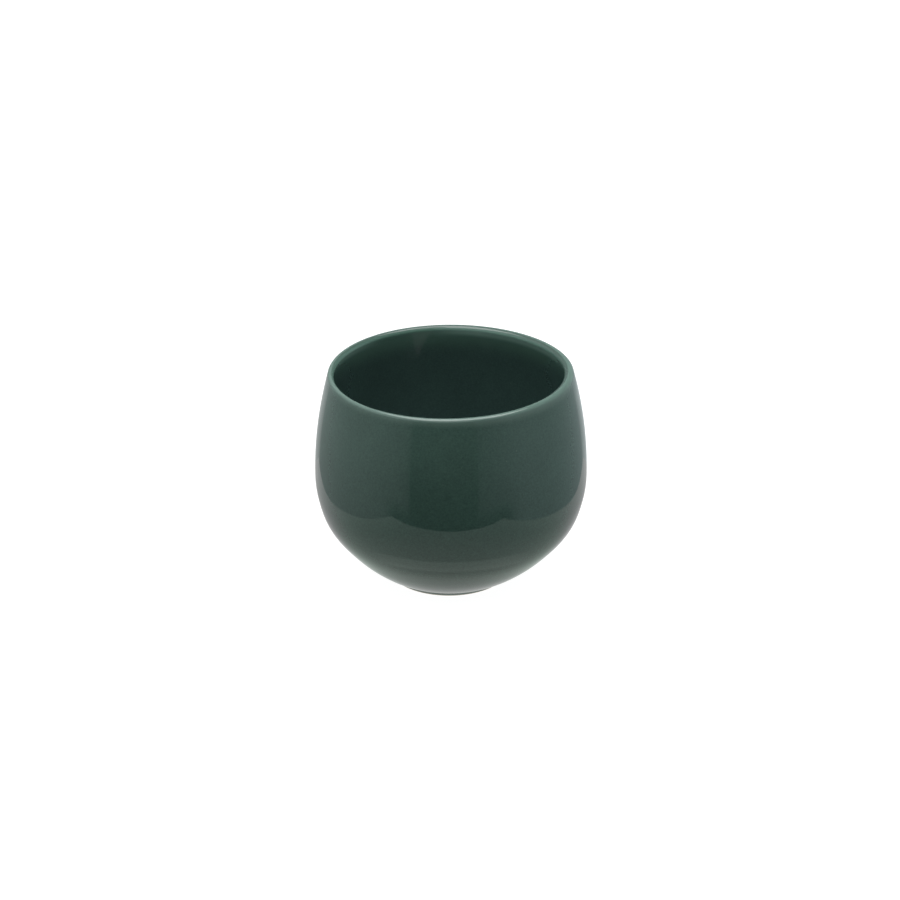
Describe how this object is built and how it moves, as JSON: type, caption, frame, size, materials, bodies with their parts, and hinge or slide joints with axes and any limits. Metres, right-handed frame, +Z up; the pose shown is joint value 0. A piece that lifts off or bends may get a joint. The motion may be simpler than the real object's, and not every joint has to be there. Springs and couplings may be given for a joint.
{
  "type": "ceramic inkwell",
  "caption": "Round-bellied handleless stoneware cup with an open mouth, a full-round lip and a bare foot ring, glazed dark green inside and out, to stand on a desk and hold ink or a drink.",
  "frame": {"origin": "centre of the bare foot land, on the surface that the pot stands on", "axes": "+Z up along the pot's axis of revolution, out of its mouth; X and Y level"},
  "size_m": [0.082, 0.082, 0.0666],
  "materials": {
    "clay": "bare fired stoneware, matt",
    "green_glaze": "dark green glaze, glossy"
  },
  "bodies": {
    "root": {"clay_body": "clay", "outer_glaze": "green_glaze", "liner_glaze": "green_glaze", "base_glaze": "green_glaze"}
  },
  "joints": []
}
